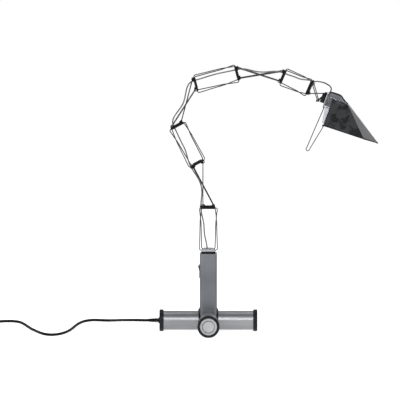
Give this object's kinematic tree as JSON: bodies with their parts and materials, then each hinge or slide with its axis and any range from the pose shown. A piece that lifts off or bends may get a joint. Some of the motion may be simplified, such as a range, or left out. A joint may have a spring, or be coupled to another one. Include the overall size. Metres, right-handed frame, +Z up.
{
  "type": "accordion desk lamp",
  "caption": "Desk lamp with a folding lattice arm of wire frames and black rings on a low cross base of tubes, with a tapered hood, handle loop and coiled mains lead.",
  "frame": {"origin": "centre of the cross base, on the floor plane, under the stem's axis", "axes": "+Z up; +X towards the side that the head reaches to; -Y towards the viewer of the picture"},
  "size_m": [0.975, 0.265, 0.5894],
  "materials": {
    "satin_aluminium": "satin",
    "bright_aluminium": "polished",
    "dark_aluminium": "gloss",
    "bright_wire": "gloss",
    "plain_steel": "satin",
    "black_nylon": "satin",
    "black_plastic": "satin",
    "black_rubber": "matte",
    "grey_lead": "satin",
    "clear_glass": "gloss"
  },
  "bodies": {
    "base": {"stem_housing": "satin_aluminium", "stem_cap": "black_plastic", "arm_saddle": "satin_aluminium", "switch_bezel": "black_plastic", "base_tube_left": "satin_aluminium", "base_tube_right": "satin_aluminium", "base_tube_front": "satin_aluminium", "base_tube_rear": "satin_aluminium", "tube_gaskets": "black_rubber", "foot_rings": "black_rubber", "end_caps": "satin_aluminium", "tie_rods": "plain_steel", "ballast": "plain_steel", "power_unit": "black_plastic", "cord_relief": "black_plastic", "mains_cord": "black_rubber", "cord_coil": "black_rubber", "cord_tie": "black_plastic", "mains_plug": "black_plastic", "lead_0": "grey_lead"},
    "rocker": {"rocker_switch": "black_plastic"},
    "frame_1a": {"frame_1a": "bright_wire"},
    "frame_1b": {"frame_1b": "bright_wire"},
    "ring_a": {"ring_a": "black_nylon", "lead_1": "grey_lead"},
    "frame_2a": {"frame_2a": "bright_wire"},
    "frame_2b": {"frame_2b": "bright_wire"},
    "ring_b": {"ring_b": "black_nylon", "lead_2": "grey_lead"},
    "frame_3a": {"frame_3a": "bright_wire"},
    "frame_3b": {"frame_3b": "bright_wire"},
    "ring_c": {"ring_c": "black_nylon", "lead_3": "grey_lead"},
    "frame_4a": {"frame_4a": "bright_wire"},
    "frame_4b": {"frame_4b": "bright_wire"},
    "ring_d": {"ring_d": "black_nylon", "lead_4": "grey_lead"},
    "frame_5a": {"frame_5a": "bright_wire"},
    "frame_5b": {"frame_5b": "bright_wire"},
    "ring_e": {"ring_e": "black_nylon", "lead_5": "grey_lead"},
    "frame_6a": {"frame_6a": "bright_wire"},
    "frame_6b": {"frame_6b": "bright_wire"},
    "ring_f": {"ring_f": "black_nylon", "lead_6": "grey_lead"},
    "frame_7a": {"frame_7a": "bright_wire"},
    "frame_7b": {"frame_7b": "bright_wire"},
    "ring_g": {"ring_g": "black_nylon", "lead_7": "grey_lead"},
    "frame_8a": {"frame_8a": "bright_wire"},
    "frame_8b": {"frame_8b": "bright_wire"},
    "head": {"head_sleeves": "black_plastic", "head_bracket": "bright_wire", "lamp_holder": "black_plastic", "lamp_bulb": "clear_glass", "reflector": "bright_aluminium", "front_glass": "clear_glass", "hood": "dark_aluminium", "handle_loop": "bright_wire", "lead_8": "grey_lead"}
  },
  "joints": [
    {"name": "panel_1", "type": "hinge", "parent": "base", "child": "frame_1b", "pos_m": [0, 0.012, 0.1813], "axis": [-1, 0, 0], "range_deg": [-15, 15]},
    {"name": "panel_1_far_frame", "type": "hinge", "parent": "base", "child": "frame_1a", "pos_m": [0, -0.012, 0.1813], "axis": [-1, 0, 0], "range_deg": [-15.05, 15.05]},
    {"name": "panel_1_top", "type": "hinge", "parent": "frame_1b", "child": "ring_a", "pos_m": [0, -0.012, 0.27477], "axis": [-1, 0, 0], "range_deg": [-15.05, 15.05]},
    {"name": "panel_2", "type": "hinge", "parent": "ring_a", "child": "frame_2b", "pos_m": [0.012, 0, 0.27857], "axis": [0, 1, 0], "range_deg": [-14.07, 14.07]},
    {"name": "panel_2_far_frame", "type": "hinge", "parent": "ring_a", "child": "frame_2a", "pos_m": [-0.012, 0, 0.27857], "axis": [0, 1, 0], "range_deg": [-15.98, 15.98]},
    {"name": "panel_2_top", "type": "hinge", "parent": "frame_2b", "child": "ring_b", "pos_m": [-0.03325, 0, 0.3638], "axis": [0, 1, 0], "range_deg": [-15.98, 15.98]},
    {"name": "panel_3", "type": "hinge", "parent": "ring_b", "child": "frame_3b", "pos_m": [-0.02444, 0.012, 0.37279], "axis": [-0.8829, 0, -0.4695], "range_deg": [-11, 15]},
    {"name": "panel_3_far_frame", "type": "hinge", "parent": "ring_b", "child": "frame_3a", "pos_m": [-0.02444, -0.012, 0.37279], "axis": [-0.8829, 0, -0.4695], "range_deg": [-11.05, 15.05]},
    {"name": "panel_3_top", "type": "hinge", "parent": "frame_3b", "child": "ring_c", "pos_m": [-0.06832, -0.012, 0.45532], "axis": [-0.8829, 0, -0.4695], "range_deg": [-11.05, 15.05]},
    {"name": "panel_4", "type": "hinge", "parent": "ring_c", "child": "frame_4b", "pos_m": [-0.05951, 0, 0.46431], "axis": [0, 1, 0], "range_deg": [-17.97, 17.97]},
    {"name": "panel_4_far_frame", "type": "hinge", "parent": "ring_c", "child": "frame_4a", "pos_m": [-0.0807, 0, 0.45304], "axis": [0, 1, 0], "range_deg": [-12.09, 12.09]},
    {"name": "panel_4_top", "type": "hinge", "parent": "frame_4b", "child": "ring_d", "pos_m": [-0.03471, 0, 0.55756], "axis": [0, 1, 0], "range_deg": [-12.09, 12.09]},
    {"name": "panel_5", "type": "hinge", "parent": "ring_d", "child": "frame_5b", "pos_m": [-0.02802, 0.012, 0.5469], "axis": [-0.2504, 0, 0.9681], "range_deg": [-15, 15]},
    {"name": "panel_5_far_frame", "type": "hinge", "parent": "ring_d", "child": "frame_5a", "pos_m": [-0.02802, -0.012, 0.5469], "axis": [-0.2504, 0, 0.9681], "range_deg": [-15.05, 15.05]},
    {"name": "panel_5_top", "type": "hinge", "parent": "frame_5b", "child": "ring_e", "pos_m": [0.06247, -0.012, 0.5703], "axis": [-0.2504, 0, 0.9681], "range_deg": [-15.05, 15.05]},
    {"name": "panel_6", "type": "hinge", "parent": "ring_e", "child": "frame_6b", "pos_m": [0.06915, 0, 0.55963], "axis": [0, -1, 0], "range_deg": [-16.23, 16.23]},
    {"name": "panel_6_far_frame", "type": "hinge", "parent": "ring_e", "child": "frame_6a", "pos_m": [0.06314, 0, 0.58287], "axis": [0, -1, 0], "range_deg": [-13.81, 13.81]},
    {"name": "panel_6_top", "type": "hinge", "parent": "frame_6b", "child": "ring_f", "pos_m": [0.16436, 0, 0.57535], "axis": [0, -1, 0], "range_deg": [-13.81, 13.81]},
    {"name": "panel_7", "type": "hinge", "parent": "ring_f", "child": "frame_7b", "pos_m": [0.16317, 0.012, 0.56282], "axis": [-0.3907, 0, -0.9205], "range_deg": [-14.6, 14.6]},
    {"name": "panel_7_far_frame", "type": "hinge", "parent": "ring_f", "child": "frame_7a", "pos_m": [0.16317, -0.012, 0.56282], "axis": [-0.3907, 0, -0.9205], "range_deg": [-15.45, 15.45]},
    {"name": "panel_7_top", "type": "hinge", "parent": "frame_7b", "child": "ring_g", "pos_m": [0.21959, -0.01629, 0.53887], "axis": [-0.3907, 0, -0.9205], "range_deg": [-15.45, 15.45]},
    {"name": "panel_8", "type": "hinge", "parent": "ring_g", "child": "frame_8b", "pos_m": [0.2199, -0.00493, 0.5257], "axis": [-0.1281, -0.9903, 0.0544], "range_deg": [-17.65, 15.5]},
    {"name": "panel_8_far_frame", "type": "hinge", "parent": "ring_g", "child": "frame_8a", "pos_m": [0.22928, -0.00493, 0.54779], "axis": [-0.1281, -0.9903, 0.0544], "range_deg": [-12.4, 10.9]},
    {"name": "panel_8_top", "type": "hinge", "parent": "frame_8b", "child": "head", "pos_m": [0.25807, -0.00981, 0.52678], "axis": [-0.1281, -0.9903, 0.0544], "range_deg": [-12.4, 10.9]},
    {"name": "rocker_tilt", "type": "hinge", "parent": "base", "child": "rocker", "pos_m": [-0.017, 0, 0.1336], "axis": [0, 1, 0], "range_deg": [0, 16]}
  ],
  "couplings": [
    {"joint": "panel_1_far_frame", "follows": "panel_1", "ratio": 1},
    {"joint": "panel_1_top", "follows": "panel_1", "ratio": 1},
    {"joint": "panel_2_far_frame", "follows": "panel_2", "ratio": 1.1322},
    {"joint": "panel_2_top", "follows": "panel_2", "ratio": 1.1322},
    {"joint": "panel_3_far_frame", "follows": "panel_3", "ratio": 1},
    {"joint": "panel_3_top", "follows": "panel_3", "ratio": 1},
    {"joint": "panel_4_far_frame", "follows": "panel_4", "ratio": 0.6699},
    {"joint": "panel_4_top", "follows": "panel_4", "ratio": 0.6699},
    {"joint": "panel_5_far_frame", "follows": "panel_5", "ratio": 1},
    {"joint": "panel_5_top", "follows": "panel_5", "ratio": 1},
    {"joint": "panel_6_far_frame", "follows": "panel_6", "ratio": 0.848},
    {"joint": "panel_6_top", "follows": "panel_6", "ratio": 0.848},
    {"joint": "panel_7_far_frame", "follows": "panel_7", "ratio": 1.0545},
    {"joint": "panel_7_top", "follows": "panel_7", "ratio": 1.0545},
    {"joint": "panel_8_far_frame", "follows": "panel_8", "ratio": 0.6999},
    {"joint": "panel_8_top", "follows": "panel_8", "ratio": 0.6999}
  ]
}
